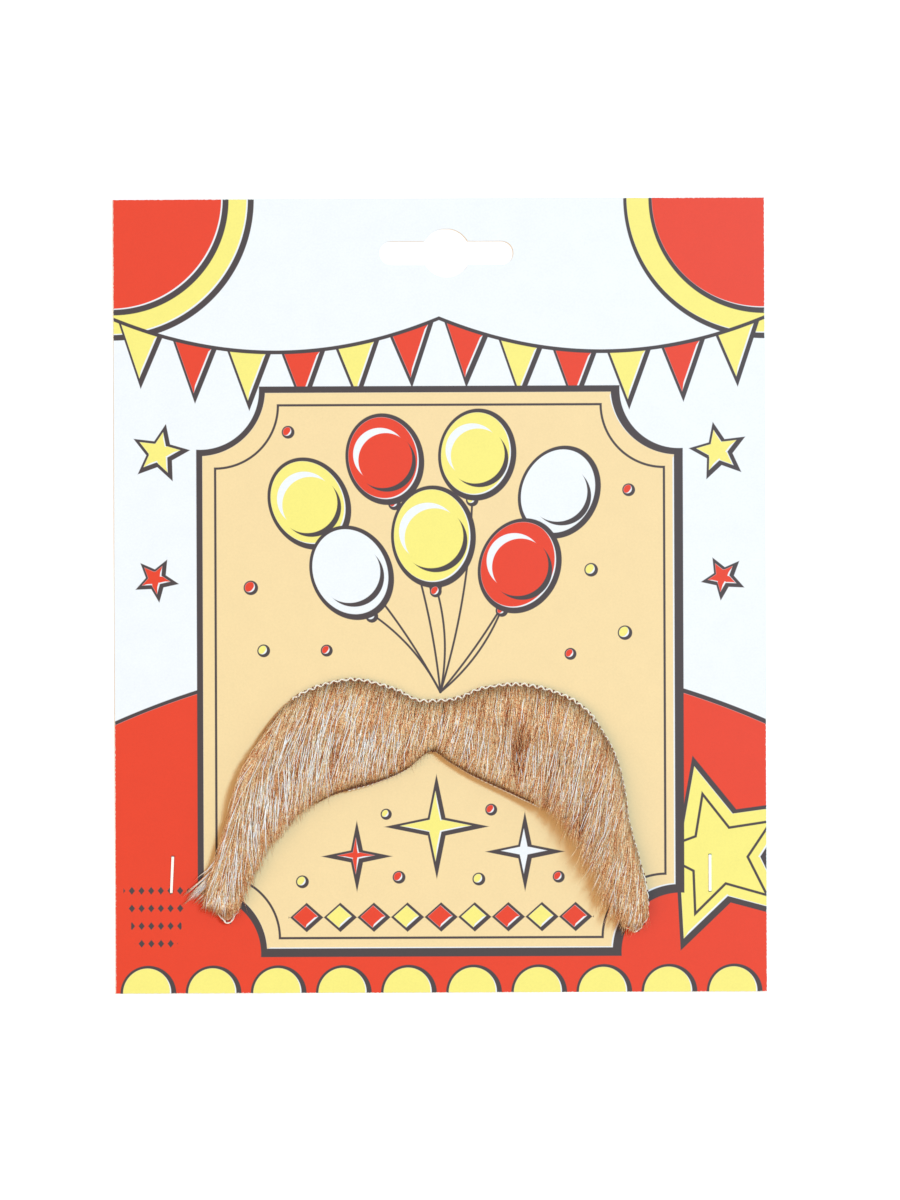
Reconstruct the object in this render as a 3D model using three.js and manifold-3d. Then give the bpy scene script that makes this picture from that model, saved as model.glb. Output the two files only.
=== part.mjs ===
// A self-adhesive false moustache on the hanging card that it is sold on.
// Millimetres, +Z up. The card lies on its back: +X is the right of its printed face, +Y runs
// towards the hang slot and +Z comes out of the face. The origin is the middle of the card's back.
import * as THREE from "three";
import { mergeVertices } from "three/addons/utils/BufferGeometryUtils.js";
import Module from "manifold-3d";

const wasm = await Module();
wasm.setup();

// Card and its hang slot
const CARD_WIDTH = 155;
const CARD_HEIGHT = 189;
const CARD_THICKNESS = 0.6;
const SLOT_WIDTH = 32;
const SLOT_HEIGHT = 5.7;
const SLOT_ROUND_DIAMETER = 11.7;
const SLOT_FROM_TOP = 13; // the card's top edge to the slot's middle line
const SLOT_OFFSET = 1.8; // the slot is punched this far right of the card's middle
const SLOT_SEAT_WIDTH = 2; // the flat at the top of the round, which a peg bears on
const ARC_STEPS = 6; // straight edges in a quarter circle, about

// Staples: flat wire, crown in front, legs folded flat into the card's back
const STAPLE_CROWN = 9;
const STAPLE_WIRE_WIDTH = 0.6;
const STAPLE_WIRE_THICKNESS = 0.3;
const STAPLE_FOLD = 3;
const STAPLE_FROM_SIDE = 13.5; // the card's side edge to the middle of the crown
const STAPLE_FROM_BOTTOM = 28.3; // the card's lower edge to the middle of the crown
const STAPLE_CLEARANCE = 0.05;
const STAPLE_LEAN = { left: 2.7, right: 0 }; // degrees, anticlockwise from below

// Moustache: its place on the card, and its overall sizes
const MOUSTACHE_SPAN = 103;
const MOUSTACHE_DROP = 59.7; // the top of the humps to the lower tip
const MOUSTACHE_FROM_TOP = 114.3; // the card's top edge to the top of the humps
const MOUSTACHE_OFFSET = -1.8; // the middle of the span from the card's middle
const NET_THICKNESS = 1;
const SEAT_GAP = 0.3; // the film of adhesive under the net, and the space under the hair
const PILE_HEIGHT = 3.6; // the hair over the net where it is deepest
const WING_LIFT = 6; // how far the freest edge of a wing stands off the card

// Locks of hair
const LOCKS_IN_A_ROW = 30;
const LOCK_OVERLAP = 1.45; // a lock's width over the distance to the next one
const LOCK_ROOT_DEPTH = 0.8; // how far a lock starts below the hair's underside before it is trimmed
const LONGEST_LOCK = 1.05; // share of the section
const HAIR_INSET = 0.05; // rows of SECTIONS from a tip of the net to the end of the hair

// One row for each section from the left tip to the right one. A section runs the way the hair
// falls, from the root edge of the net to the free edge. rootX, freeX: shares of the span from its
// middle. rootY, freeY: shares of the drop below the humps. rootZ, freeZ: shares of the wing lift.
// net: share of the section that the net covers. pile: share of the pile height.
const SECTIONS = [
  { rootX: -0.499, rootY: 0.807, freeX: -0.499, freeY: 0.925, rootZ: 0.3, freeZ: 0.2, net: 1, pile: 0.4 },
  { rootX: -0.476, rootY: 0.623, freeX: -0.474, freeY: 0.958, rootZ: 0.35, freeZ: 0.15, net: 1, pile: 0.6 },
  { rootX: -0.454, rootY: 0.481, freeX: -0.447, freeY: 0.911, rootZ: 0.35, freeZ: 0.2, net: 0.97, pile: 0.8 },
  { rootX: -0.429, rootY: 0.33, freeX: -0.419, freeY: 0.807, rootZ: 0.3, freeZ: 0.25, net: 0.93, pile: 0.95 },
  { rootX: -0.39, rootY: 0.204, freeX: -0.392, freeY: 0.712, rootZ: 0.2, freeZ: 0.3, net: 0.91, pile: 1 },
  { rootX: -0.337, rootY: 0.095, freeX: -0.351, freeY: 0.615, rootZ: 0.1, freeZ: 0.3, net: 0.92, pile: 1 },
  { rootX: -0.269, rootY: 0.03, freeX: -0.308, freeY: 0.536, rootZ: 0.05, freeZ: 0.25, net: 0.95, pile: 0.96 },
  { rootX: -0.182, rootY: 0, freeX: -0.235, freeY: 0.456, rootZ: 0, freeZ: 0.25, net: 0.98, pile: 0.9 },
  { rootX: -0.094, rootY: 0.035, freeX: -0.133, freeY: 0.404, rootZ: 0, freeZ: 0.2, net: 1, pile: 0.85 },
  { rootX: -0.036, rootY: 0.082, freeX: -0.065, freeY: 0.357, rootZ: 0, freeZ: 0.15, net: 1, pile: 0.8 },
  { rootX: 0.013, rootY: 0.085, freeX: -0.005, freeY: 0.283, rootZ: 0, freeZ: 0.15, net: 1, pile: 0.75 },
  { rootX: 0.061, rootY: 0.074, freeX: 0.042, freeY: 0.328, rootZ: 0, freeZ: 0.25, net: 1, pile: 0.8 },
  { rootX: 0.115, rootY: 0.037, freeX: 0.095, freeY: 0.38, rootZ: 0, freeZ: 0.35, net: 1, pile: 0.85 },
  { rootX: 0.202, rootY: 0.022, freeX: 0.192, freeY: 0.457, rootZ: 0, freeZ: 0.5, net: 0.99, pile: 0.8 },
  { rootX: 0.289, rootY: 0.057, freeX: 0.255, freeY: 0.509, rootZ: 0.05, freeZ: 0.75, net: 0.95, pile: 0.95 },
  { rootX: 0.352, rootY: 0.121, freeX: 0.299, freeY: 0.559, rootZ: 0.15, freeZ: 0.95, net: 0.92, pile: 1 },
  { rootX: 0.396, rootY: 0.221, freeX: 0.334, freeY: 0.628, rootZ: 0.25, freeZ: 1, net: 0.9, pile: 1 },
  { rootX: 0.425, rootY: 0.322, freeX: 0.355, freeY: 0.698, rootZ: 0.35, freeZ: 0.95, net: 0.9, pile: 0.95 },
  { rootX: 0.442, rootY: 0.439, freeX: 0.379, freeY: 0.799, rootZ: 0.4, freeZ: 0.8, net: 0.91, pile: 0.9 },
  { rootX: 0.452, rootY: 0.564, freeX: 0.406, freeY: 0.904, rootZ: 0.4, freeZ: 0.65, net: 0.94, pile: 0.8 },
  { rootX: 0.47, rootY: 0.682, freeX: 0.437, freeY: 0.968, rootZ: 0.4, freeZ: 0.5, net: 0.98, pile: 0.7 },
  { rootX: 0.486, rootY: 0.79, freeX: 0.467, freeY: 1, rootZ: 0.4, freeZ: 0.45, net: 1, pile: 0.6 },
  { rootX: 0.495, rootY: 0.874, freeX: 0.493, freeY: 0.95, rootZ: 0.4, freeZ: 0.4, net: 1, pile: 0.4 },
];

// Creases in the pile. at: place between the rows of SECTIONS. reach: rows that it spreads over.
// from, to: shares of the section. depth: share of the pile that is missing.
const CREASES = [
  { at: 13.35, reach: 0.35, from: 0.1, to: 0.7, depth: 0.4 },
  { at: 6.9, reach: 0.3, from: 0.4, to: 0.85, depth: 0.3 },
];

// The hair's mat, from the roots to the free edge. along: share of the section. thick: share of the pile.
const MAT_PROFILE = [
  { along: 0, thick: 0.2 },
  { along: 0.3, thick: 0.62 },
  { along: 0.75, thick: 0.6 },
  { along: 1, thick: 0.25 },
];

// Two rows of locks lie over the mat. from, to: shares of the section. rise: share of the pile.
// shift: lock widths that the row is moved by.
const LOCK_ROWS = [
  { from: 0.34, to: 1.0, rise: 0.86, shift: 0.4 },
  { from: 0.02, to: 0.84, rise: 1.0, shift: 0.6 },
];

// How far locks differ. root, tip: shares of the section. sway: share of the distance to the next
// lock. rise: share of the pile.
const LOCK_WANDER = { root: 0.03, tip: 0.035, sway: 0.22, rise: 0.11 };

// A lock from its root to its tip. along: share of its length. width, rise: shares of the full ones.
const LOCK_PROFILE = [
  { along: 0, width: 0.5, rise: 0.35 },
  { along: 0.22, width: 0.95, rise: 0.9 },
  { along: 0.55, width: 1.0, rise: 1.0 },
  { along: 0.85, width: 0.72, rise: 0.8 },
  { along: 1, width: 0.2, rise: 0.42 },
];

// A lock's cross-section. side: share of its half width. high: 0 is its underside and 1 its crown.
const LOCK_SECTION = [
  { side: -1, high: 0.4 },
  { side: -0.5, high: 0 },
  { side: 0.5, high: 0 },
  { side: 1, high: 0.4 },
  { side: 0.45, high: 1 },
  { side: -0.45, high: 1 },
];

// Locks that stray off the left tip. at: row of SECTIONS. along: share of the section where they
// start. endX, endY: their tips, in the shares that SECTIONS has. halfWidth: millimetres.
const STRAY_LOCKS = [
  { at: 1.1, along: 0.05, endX: -0.583, endY: 0.862, halfWidth: 0.8 },
  { at: 0.95, along: 0.2, endX: -0.562, endY: 0.888, halfWidth: 1.0 },
  { at: 0.8, along: 0.3, endX: -0.54, endY: 0.91, halfWidth: 1.0 },
  { at: 0.6, along: 0.4, endX: -0.52, endY: 0.925, halfWidth: 0.9 },
];

const slotCentre = new THREE.Vector2(SLOT_OFFSET, CARD_HEIGHT / 2 - SLOT_FROM_TOP);
const cardFace = CARD_THICKNESS;
const netUnderside = cardFace + SEAT_GAP;
const hairUnderside = NET_THICKNESS + SEAT_GAP; // above the net's underside
const lastRow = SECTIONS.length - 1;

// Solids

function solidOf(geometry) {
  const bare = geometry.clone();
  bare.deleteAttribute("normal");
  bare.deleteAttribute("uv");
  const merged = mergeVertices(bare, 1e-4);
  return new wasm.Manifold(
    new wasm.Mesh({
      numProp: 3,
      vertProperties: new Float32Array(merged.attributes.position.array),
      triVerts: new Uint32Array(merged.index.array),
    }),
  );
}

function geometryOf(solid) {
  const mesh = solid.getMesh();
  const geometry = new THREE.BufferGeometry();
  geometry.setAttribute("position", new THREE.BufferAttribute(mesh.vertProperties, 3));
  geometry.setIndex(new THREE.BufferAttribute(mesh.triVerts, 1));
  geometry.computeVertexNormals();
  return geometry;
}

// A closed body through rings of points, each ring anticlockwise seen from the body's far end.
function loftOf(rings) {
  const count = rings[0].length;
  const faces = [];
  for (let r = 0; r + 1 < rings.length; r += 1) {
    for (let k = 0; k < count; k += 1) {
      const next = (k + 1) % count;
      const [a, b] = [r * count + k, r * count + next];
      const [c, d] = [a + count, b + count];
      faces.push(a, b, d, a, d, c);
    }
  }
  const last = (rings.length - 1) * count;
  for (let k = 1; k + 1 < count; k += 1) {
    faces.push(0, k + 1, k, last, last + k, last + k + 1);
  }
  const geometry = new THREE.BufferGeometry().setFromPoints(rings.flat());
  geometry.setIndex(faces);
  geometry.computeVertexNormals();
  return geometry;
}

// Card

// The slot's outline: a bar with round ends, and a round in its middle for the peg.
function slotOutline() {
  const barRadius = SLOT_HEIGHT / 2;
  const roundRadius = SLOT_ROUND_DIAMETER / 2;
  const barEnd = SLOT_WIDTH / 2 - barRadius;
  const meet = Math.asin(barRadius / roundRadius);
  const seat = Math.acos(SLOT_SEAT_WIDTH / 2 / roundRadius);
  const outline = new THREE.Path();
  const [x, y] = [slotCentre.x, slotCentre.y];
  outline.absarc(x + barEnd, y, barRadius, -Math.PI / 2, Math.PI / 2);
  outline.absarc(x, y, roundRadius, meet, seat);
  outline.absarc(x, y, roundRadius, Math.PI - seat, Math.PI - meet);
  outline.absarc(x - barEnd, y, barRadius, Math.PI / 2, (3 * Math.PI) / 2);
  outline.absarc(x, y, roundRadius, Math.PI + meet, 2 * Math.PI - meet);
  outline.closePath();
  return outline;
}

function cardGeometry(staples) {
  const [w, h] = [CARD_WIDTH / 2, CARD_HEIGHT / 2];
  const outline = new THREE.Shape([
    new THREE.Vector2(-w, -h),
    new THREE.Vector2(w, -h),
    new THREE.Vector2(w, h),
    new THREE.Vector2(-w, h),
  ]);
  outline.holes.push(slotOutline());
  const blank = new THREE.ExtrudeGeometry(outline, {
    depth: CARD_THICKNESS,
    bevelEnabled: false,
    curveSegments: ARC_STEPS,
  });
  return geometryOf(staples.reduce((card, staple) => card.subtract(solidOf(staple)), solidOf(blank)));
}

// Staples

// The staple's side outline, grown by a margin: x runs along the crown and y away from the card's back.
function stapleOutline(margin) {
  const outer = STAPLE_CROWN / 2 + margin;
  const inner = STAPLE_CROWN / 2 - STAPLE_WIRE_THICKNESS - margin;
  const fold = inner - STAPLE_FOLD - margin;
  const bend = STAPLE_WIRE_THICKNESS;
  const back = STAPLE_CLEARANCE - margin;
  const backInner = STAPLE_CLEARANCE + STAPLE_WIRE_THICKNESS + margin;
  const crownInner = cardFace + STAPLE_CLEARANCE - margin;
  const crown = cardFace + STAPLE_CLEARANCE + STAPLE_WIRE_THICKNESS + margin;
  const outline = new THREE.Shape();
  outline.moveTo(fold, back);
  outline.lineTo(outer - bend, back);
  outline.absarc(outer - bend, back + bend, bend, -Math.PI / 2, 0);
  outline.absarc(outer - bend, crown - bend, bend, 0, Math.PI / 2);
  outline.absarc(bend - outer, crown - bend, bend, Math.PI / 2, Math.PI);
  outline.absarc(bend - outer, back + bend, bend, Math.PI, (3 * Math.PI) / 2);
  outline.lineTo(-fold, back);
  outline.lineTo(-fold, backInner);
  outline.lineTo(-inner, backInner);
  outline.lineTo(-inner, crownInner);
  outline.lineTo(inner, crownInner);
  outline.lineTo(inner, backInner);
  outline.lineTo(fold, backInner);
  outline.closePath();
  return outline;
}

function stapleGeometry(side, margin = 0) {
  const width = STAPLE_WIRE_WIDTH + 2 * margin;
  const geometry = new THREE.ExtrudeGeometry(stapleOutline(margin), {
    depth: width,
    bevelEnabled: false,
    curveSegments: 4,
  });
  const sign = side === "left" ? -1 : 1;
  geometry.translate(0, 0, -width / 2);
  geometry.rotateX(Math.PI / 2);
  geometry.rotateZ(Math.PI / 2 - THREE.MathUtils.degToRad(STAPLE_LEAN[side]));
  geometry.translate(sign * (CARD_WIDTH / 2 - STAPLE_FROM_SIDE), STAPLE_FROM_BOTTOM - CARD_HEIGHT / 2, 0);
  return geometry;
}

// The moustache's surface

// A point given in shares of the span, the drop and the wing lift.
function placed(across, down, lift) {
  return new THREE.Vector3(
    MOUSTACHE_OFFSET + MOUSTACHE_SPAN * across,
    CARD_HEIGHT / 2 - MOUSTACHE_FROM_TOP - MOUSTACHE_DROP * down,
    netUnderside + WING_LIFT * lift,
  );
}

// A smooth curve with one point for each row of SECTIONS.
const curveOf = (point) => new THREE.CatmullRomCurve3(SECTIONS.map(point), false, "catmullrom", 0.5);

const rootEdge = curveOf((row) => placed(row.rootX, row.rootY, row.rootZ));
const freeEdge = curveOf((row) => placed(row.freeX, row.freeY, row.freeZ));
const coverage = curveOf((row) => new THREE.Vector3(row.net, row.pile, 0));

const atRow = (curve, row) => curve.getPoint(THREE.MathUtils.clamp(row / lastRow, 0, 1));

// The point on the net's underside at a row and a share of its section, raised by a height. The
// net stays flat near its roots, where it is stuck down, and lifts towards the free edge.
function surfacePoint(row, along, height) {
  const [root, free] = [atRow(rootEdge, row), atRow(freeEdge, row)];
  return new THREE.Vector3(
    root.x + (free.x - root.x) * along,
    root.y + (free.y - root.y) * along,
    root.z + (free.z - root.z) * along * Math.abs(along) + height,
  );
}

// The mat's thickness at a share of its section, by straight lines between the rows of its table.
function matThickness(along) {
  const next = Math.max(1, MAT_PROFILE.findIndex((row) => row.along >= along));
  const [a, b] = [MAT_PROFILE[next - 1], MAT_PROFILE[next]];
  return THREE.MathUtils.mapLinear(along, a.along, b.along, a.thick, b.thick);
}

// The pile's height above the net at a row and a share of its section, less its creases.
function pileAt(row, along) {
  const missing = CREASES.map((crease) => {
    const across = Math.max(0, 1 - Math.abs(row - crease.at) / crease.reach);
    const middle = (crease.from + crease.to) / 2;
    const length = (crease.to - crease.from) / 2;
    return crease.depth * across * Math.max(0, 1 - Math.abs(along - middle) / length);
  });
  return PILE_HEIGHT * atRow(coverage, row).y * (1 - Math.max(...missing));
}

// A closed sheet between two rows. reach gives its first and last share of a section, and
// heights its underside and top above the net's underside.
function sheetOf({ from, to, rowSteps, alongSteps, reach, heights }) {
  const rings = [];
  for (let r = 0; r <= rowSteps; r += 1) {
    const row = from + ((to - from) * r) / rowSteps;
    const [first, last] = reach(row);
    const top = [];
    const bottom = [];
    for (let k = 0; k <= alongSteps; k += 1) {
      const along = first + ((last - first) * k) / alongSteps;
      const [low, high] = heights(row, along);
      bottom.unshift(surfacePoint(row, along, low));
      top.push(surfacePoint(row, along, high));
    }
    rings.push([...top, ...bottom]);
  }
  return loftOf(rings);
}

function netGeometry() {
  return sheetOf({
    from: 0,
    to: lastRow,
    rowSteps: 2 * lastRow,
    alongSteps: 5,
    reach: (row) => [0, atRow(coverage, row).x],
    heights: () => [0, NET_THICKNESS],
  });
}

// Hair

// A lock lofted along a curve. halfWidth and rise are functions of the share of its length.
function lockGeometry(curve, halfWidth, rise) {
  const rings = LOCK_PROFILE.map((stage) => {
    const middle = curve.getPoint(stage.along);
    const ahead = curve.getTangent(stage.along);
    const side = new THREE.Vector3(-ahead.y, ahead.x, 0).normalize();
    const height = LOCK_ROOT_DEPTH + stage.rise * rise(stage.along);
    return LOCK_SECTION.map((corner) =>
      middle
        .clone()
        .addScaledVector(side, corner.side * stage.width * halfWidth(stage.along))
        .add(new THREE.Vector3(0, 0, corner.high * height - LOCK_ROOT_DEPTH)),
    );
  });
  return loftOf(rings);
}

// How much one lock differs from its neighbours in one way, from -1 to 1, the same in each build.
const wander = (lock, way) => Math.sin(13 * lock + 5 * way) * Math.cos(4 * lock + 3 * way);

// A lock that lies on the mat and follows its section.
function lyingLock(row, spacing, layer, lock) {
  const from = layer.from + LOCK_WANDER.root * wander(lock, 0);
  const to = layer.to + LOCK_WANDER.tip * wander(lock, 1);
  const sway = LOCK_WANDER.sway * spacing * wander(lock, 2);
  const along = (share) => from + (to - from) * share;
  const rowAt = (share) => row + sway * share;
  const points = [0, 0.35, 0.7, 1].map((share) => surfacePoint(rowAt(share), along(share), hairUnderside));
  const halfWidth = (share) => {
    const [a, b] = [-0.5, 0.5].map((k) => surfacePoint(rowAt(share) + k * spacing, along(share), 0));
    return (LOCK_OVERLAP / 2) * Math.hypot(a.x - b.x, a.y - b.y);
  };
  const crown = layer.rise + LOCK_WANDER.rise * wander(lock, 3);
  const rise = (share) => crown * pileAt(rowAt(share), along(share));
  return lockGeometry(new THREE.CatmullRomCurve3(points), halfWidth, rise);
}

// A lock that leaves the tip and bends outwards and down towards the card.
function strayLock(stray) {
  const start = surfacePoint(stray.at, stray.along, hairUnderside);
  const end = placed(stray.endX, stray.endY, 0).add(new THREE.Vector3(0, 0, LOCK_ROOT_DEPTH));
  const bend = new THREE.Vector3(THREE.MathUtils.lerp(start.x, end.x, 0.35), (start.y + end.y) / 2, start.z);
  const halfWidth = () => stray.halfWidth;
  const rise = () => pileAt(stray.at, stray.along);
  return lockGeometry(new THREE.QuadraticBezierCurve3(start, bend, end), halfWidth, rise);
}

function matGeometry() {
  return sheetOf({
    from: 2 * HAIR_INSET,
    to: lastRow - 2 * HAIR_INSET,
    rowSteps: 2 * lastRow,
    alongSteps: 4,
    reach: (row) => [HAIR_INSET / 5, atRow(coverage, row).x],
    heights: (row, along) => [
      hairUnderside - LOCK_ROOT_DEPTH,
      hairUnderside + pileAt(row, along) * matThickness(along),
    ],
  });
}

// A body over the moustache between two heights. inset: how many rows it stops short of each tip.
// reach: its first and last share of a section.
function region(inset, reach, heights) {
  return sheetOf({
    from: inset,
    to: lastRow - inset,
    rowSteps: 2 * lastRow,
    alongSteps: 5,
    reach: () => reach,
    heights: () => heights,
  });
}

// The hair is one body: a mat with two rows of locks, and the stray locks at the left tip.
function hairGeometry() {
  const spacing = lastRow / LOCKS_IN_A_ROW;
  const locks = LOCK_ROWS.flatMap((layer, index) =>
    Array.from({ length: LOCKS_IN_A_ROW }, (_, k) =>
      lyingLock(spacing * (k + layer.shift), spacing, layer, k + index * LOCKS_IN_A_ROW),
    ),
  );
  const joined = (body, lock) => body.add(solidOf(lock));
  const hairReach = [HAIR_INSET / 10, LONGEST_LOCK];
  const outline = solidOf(region(HAIR_INSET, hairReach, [-PILE_HEIGHT, 3 * PILE_HEIGHT]));
  const clearance = solidOf(region(0, [-0.3, 1.3], [-2 * hairUnderside, hairUnderside]));
  const trimmed = locks.reduce(joined, solidOf(matGeometry())).intersect(outline);
  return geometryOf(STRAY_LOCKS.map(strayLock).reduce(joined, trimmed).subtract(clearance));
}

// Parts

const finish = (color, roughness, metalness = 0) =>
  new THREE.MeshStandardMaterial({ color, roughness, metalness });

const board = finish(0xf0f3f6, 0.55);
const steel = finish(0xb9bdc1, 0.3, 1);
const netting = finish(0xcfb295, 0.9);
const strands = finish(0xb08b67, 0.6);

function named(name, geometry, material) {
  const mesh = new THREE.Mesh(geometry, material);
  mesh.name = name;
  return mesh;
}

const cutters = ["left", "right"].map((side) => stapleGeometry(side, STAPLE_CLEARANCE));

const moustache = new THREE.Group();
moustache.add(
  named("net_backing", netGeometry(), netting),
  named("hair", hairGeometry(), strands),
);

const part = new THREE.Group();
part.add(
  named("card", cardGeometry(cutters), board),
  named("staple_left", stapleGeometry("left"), steel),
  named("staple_right", stapleGeometry("right"), steel),
  moustache,
);

export default part;
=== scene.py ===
import math

import bpy
import numpy as np
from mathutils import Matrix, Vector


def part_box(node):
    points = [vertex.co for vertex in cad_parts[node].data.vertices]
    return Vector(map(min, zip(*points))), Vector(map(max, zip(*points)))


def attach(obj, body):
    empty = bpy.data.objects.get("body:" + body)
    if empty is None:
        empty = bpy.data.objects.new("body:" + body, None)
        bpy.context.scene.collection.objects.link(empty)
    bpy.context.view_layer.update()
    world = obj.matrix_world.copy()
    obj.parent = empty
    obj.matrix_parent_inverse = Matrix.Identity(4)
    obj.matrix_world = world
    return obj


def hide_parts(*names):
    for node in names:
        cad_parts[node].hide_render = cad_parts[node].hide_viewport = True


MM = 0.001
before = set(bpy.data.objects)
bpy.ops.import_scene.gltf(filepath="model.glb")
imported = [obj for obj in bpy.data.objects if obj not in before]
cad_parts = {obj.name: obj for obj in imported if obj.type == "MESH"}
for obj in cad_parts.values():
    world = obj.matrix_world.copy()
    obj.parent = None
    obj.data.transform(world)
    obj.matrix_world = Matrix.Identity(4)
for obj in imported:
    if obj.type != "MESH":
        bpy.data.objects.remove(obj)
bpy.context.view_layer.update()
random = np.random.default_rng(11)


def box_in_mm(node):
    low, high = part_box(node)
    return np.array(low) / MM, np.array(high) / MM


# Sizes that the frame gives
card_low, card_high = box_in_mm("card")
net_low, net_high = box_in_mm("net_backing")
CARD_WIDTH = card_high[0] - card_low[0]
CARD_HEIGHT = card_high[1] - card_low[1]
CARD_FACE = card_high[2]

# The moustache's surface, as the part's source has it
NET_ENDS = 0.994  # the net's width as a share of the span
SPAN = (net_high[0] - net_low[0]) / NET_ENDS
DROP = net_high[1] - net_low[1]
LEFT_END = 0.499  # share of the span from its middle to the net's left end
MIDDLE = net_low[0] + LEFT_END * SPAN
NET_THICKNESS = 1.0
WING_LIFT = 6.0
PILE_HEIGHT = 3.6

# One row for each section from the left tip to the right one. A section runs the way the hair
# falls, from the root edge of the net to the free edge. Columns: rootX, rootY, freeX, freeY as
# shares of the span and the drop, rootZ, freeZ as shares of the wing lift, the share of the
# section that the net covers, and the share of the pile height.
SECTIONS = np.array([
    (-0.499, 0.807, -0.499, 0.925, 0.3, 0.2, 1, 0.4),
    (-0.476, 0.623, -0.474, 0.958, 0.35, 0.15, 1, 0.6),
    (-0.454, 0.481, -0.447, 0.911, 0.35, 0.2, 0.97, 0.8),
    (-0.429, 0.33, -0.419, 0.807, 0.3, 0.25, 0.93, 0.95),
    (-0.39, 0.204, -0.392, 0.712, 0.2, 0.3, 0.91, 1),
    (-0.337, 0.095, -0.351, 0.615, 0.1, 0.3, 0.92, 1),
    (-0.269, 0.03, -0.308, 0.536, 0.05, 0.25, 0.95, 0.96),
    (-0.182, 0, -0.235, 0.456, 0, 0.25, 0.98, 0.9),
    (-0.094, 0.035, -0.133, 0.404, 0, 0.2, 1, 0.85),
    (-0.036, 0.082, -0.065, 0.357, 0, 0.15, 1, 0.8),
    (0.013, 0.085, -0.005, 0.283, 0, 0.15, 1, 0.75),
    (0.061, 0.074, 0.042, 0.328, 0, 0.25, 1, 0.8),
    (0.115, 0.037, 0.095, 0.38, 0, 0.35, 1, 0.85),
    (0.202, 0.022, 0.192, 0.457, 0, 0.5, 0.99, 0.8),
    (0.289, 0.057, 0.255, 0.509, 0.05, 0.75, 0.95, 0.95),
    (0.352, 0.121, 0.299, 0.559, 0.15, 0.95, 0.92, 1),
    (0.396, 0.221, 0.334, 0.628, 0.25, 1, 0.9, 1),
    (0.425, 0.322, 0.355, 0.698, 0.35, 0.95, 0.9, 0.95),
    (0.442, 0.439, 0.379, 0.799, 0.4, 0.8, 0.91, 0.9),
    (0.452, 0.564, 0.406, 0.904, 0.4, 0.65, 0.94, 0.8),
    (0.47, 0.682, 0.437, 0.968, 0.4, 0.5, 0.98, 0.7),
    (0.486, 0.79, 0.467, 1, 0.4, 0.45, 1, 0.6),
    (0.495, 0.874, 0.493, 0.95, 0.4, 0.4, 1, 0.4),
])
LAST_ROW = len(SECTIONS) - 1

# Creases in the pile. Columns: place between the rows, rows that it spreads over, first and last
# share of the section, share of the pile that is missing.
CREASES = [
    (13.05, 0.26, 0.2, 0.9, 0.9),
    (12.7, 0.1, 0.15, 0.6, 0.6),
    (14.1, 0.2, 0.6, 1.2, 0.85),
    (15.1, 0.12, 0.6, 1.15, 0.6),
    (16.0, 0.28, 0.5, 1.15, 0.9),
    (17.2, 0.14, 0.45, 1.1, 0.6),
    (6.9, 0.22, 0.35, 0.95, 0.3),
]


def placed(across, down, lift):
    """Points in millimetres from shares of the span, the drop and the wing lift."""
    return np.stack([MIDDLE + SPAN * across, net_high[1] - DROP * down, net_low[2] + WING_LIFT * lift], -1)


def smooth_curve(points, rows):
    """A Catmull-Rom curve with one point for each row of the table, at any places between them."""
    ends = np.vstack([2 * points[0] - points[1], points, 2 * points[-1] - points[-2]])
    rows = np.clip(rows, 0, LAST_ROW)
    before = np.minimum(rows.astype(int), LAST_ROW - 1)
    t = (rows - before)[..., None]
    a, b, c, d = (ends[before + step] for step in range(4))
    leave = (c - a) / 2
    arrive = (d - b) / 2
    cubic = 2 * b - 2 * c + leave + arrive
    square = -3 * b + 3 * c - 2 * leave - arrive
    return cubic * t**3 + square * t**2 + leave * t + b


ROOT_EDGE = placed(SECTIONS[:, 0], SECTIONS[:, 1], SECTIONS[:, 4])
FREE_EDGE = placed(SECTIONS[:, 2], SECTIONS[:, 3], SECTIONS[:, 5])


def surface(rows, along, height=0.0):
    """Points over the net's underside, at a row, a share of its section and a height."""
    rows, along, height = np.broadcast_arrays(np.asarray(rows, float), along, height)
    root = smooth_curve(ROOT_EDGE, rows)
    free = smooth_curve(FREE_EDGE, rows)
    point = root + (free - root) * along[..., None]
    point[..., 2] = root[..., 2] + (free - root)[..., 2] * along * np.abs(along) + height
    return point


def coverage(rows):
    """The share of each section that the net covers."""
    return smooth_curve(SECTIONS[:, 6:7], np.asarray(rows, float))[..., 0]


def crease_at(rows, along):
    """The share of the pile that is missing."""
    missing = np.zeros(np.broadcast(rows, along).shape)
    for place, reach, first, last, depth in CREASES:
        across = np.maximum(0, 1 - np.abs(rows - place) / reach)
        length = np.maximum(0, 1 - np.abs(along - (first + last) / 2) / ((last - first) / 2))
        missing = np.maximum(missing, depth * across * length)
    return missing


def pile_at(rows, along):
    """The pile's height above the net."""
    share = smooth_curve(SECTIONS[:, 7:8], np.asarray(rows, float))[..., 0]
    return PILE_HEIGHT * share * (1 - crease_at(rows, along))


# Meshes

MAP_WIDTH = 0.002  # how far the corners around a tube lie apart in the texture map


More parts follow.
